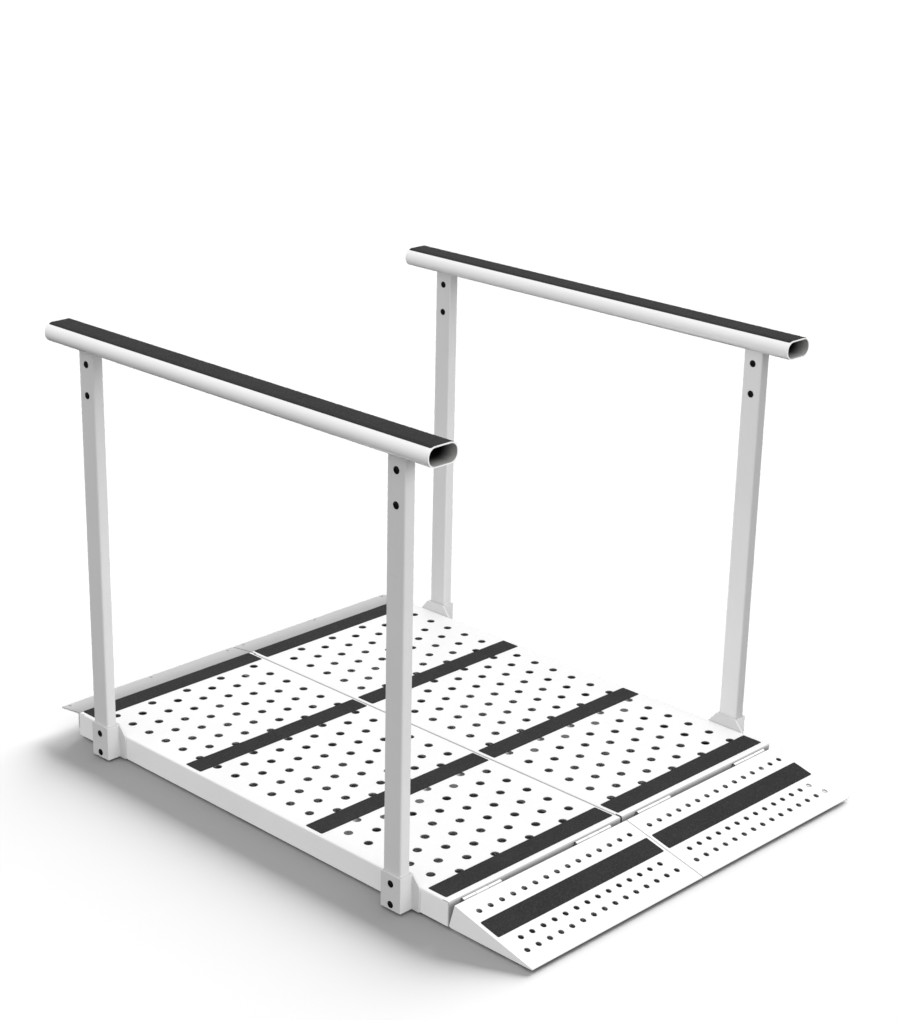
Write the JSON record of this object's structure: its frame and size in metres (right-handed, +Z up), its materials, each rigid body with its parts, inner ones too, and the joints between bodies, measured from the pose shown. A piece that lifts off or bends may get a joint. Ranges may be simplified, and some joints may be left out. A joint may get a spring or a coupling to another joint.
{
  "type": "portable wheelchair ramp",
  "caption": "Folding perforated-steel wheelchair ramp with hinged front flap, sloping rear lip, black anti-slip strips and bolted tubular handrails.",
  "frame": {"origin": "on the floor, under the centre of the overall footprint", "axes": "+X to the right across the ramp seen from the front flap, +Y along the ramp from the front flap to the rear lip, +Z up"},
  "size_m": [0.891, 1.148, 0.771],
  "materials": {
    "white_paint": "satin white powder coat",
    "grey_paint": "satin light grey powder coat",
    "rail_paint": "glossy white powder coat",
    "grit_tape": "black anti-slip grit",
    "black_steel": "black oxide",
    "zinc_steel": "zinc plated",
    "foot_rubber": "matt"
  },
  "bodies": {
    "left_deck": {"left_deck_sheet": "white_paint", "left_side_rim": "white_paint", "left_seam_rim": "white_paint", "left_front_rim": "white_paint", "left_rear_rim": "white_paint", "left_cross_ribs": "white_paint", "left_lip": "grey_paint", "left_deck_treads": "grit_tape", "left_front_socket": "grey_paint", "left_rear_socket": "grey_paint", "left_front_post": "grey_paint", "left_rear_post": "grey_paint", "left_handrail": "rail_paint", "left_rail_spigots": "zinc_steel", "left_rail_grip": "grit_tape", "left_rail_bolts": "black_steel", "left_rail_barrel_nuts": "black_steel", "left_socket_bolts": "black_steel", "left_socket_weld_nuts": "zinc_steel", "left_feet": "foot_rubber", "left_fold_leaves": "zinc_steel", "left_flap_deck_leaves": "white_paint", "left_flap_pins": "zinc_steel", "fold_pins": "zinc_steel"},
    "right_deck": {"right_deck_sheet": "white_paint", "right_side_rim": "white_paint", "right_seam_rim": "white_paint", "right_front_rim": "white_paint", "right_rear_rim": "white_paint", "right_cross_ribs": "white_paint", "right_lip": "grey_paint", "right_deck_treads": "grit_tape", "right_front_socket": "grey_paint", "right_rear_socket": "grey_paint", "right_front_post": "grey_paint", "right_rear_post": "grey_paint", "right_handrail": "rail_paint", "right_rail_spigots": "zinc_steel", "right_rail_grip": "grit_tape", "right_rail_bolts": "black_steel", "right_rail_barrel_nuts": "black_steel", "right_socket_bolts": "black_steel", "right_socket_weld_nuts": "zinc_steel", "right_feet": "foot_rubber", "right_fold_leaves": "zinc_steel", "right_flap_deck_leaves": "white_paint", "right_flap_pins": "zinc_steel"},
    "left_flap": {"left_flap_sheet": "white_paint", "left_flap_cheeks": "white_paint", "left_flap_tread": "grit_tape", "left_flap_leaves": "white_paint"},
    "right_flap": {"right_flap_sheet": "white_paint", "right_flap_cheeks": "white_paint", "right_flap_tread": "grit_tape", "right_flap_leaves": "white_paint"}
  },
  "joints": [
    {"name": "fold", "type": "hinge", "parent": "left_deck", "child": "right_deck", "pos_m": [0, 0.06, 0.0035], "axis": [0, 1, 0], "range_deg": [0, 178]},
    {"name": "left_flap_hinge", "type": "hinge", "parent": "left_deck", "child": "left_flap", "pos_m": [-0.205, -0.4068, 0.0428], "axis": [-1, 0, 0], "range_deg": [0, 104]},
    {"name": "right_flap_hinge", "type": "hinge", "parent": "right_deck", "child": "right_flap", "pos_m": [0.205, -0.4068, 0.0428], "axis": [-1, 0, 0], "range_deg": [0, 104]}
  ]
}
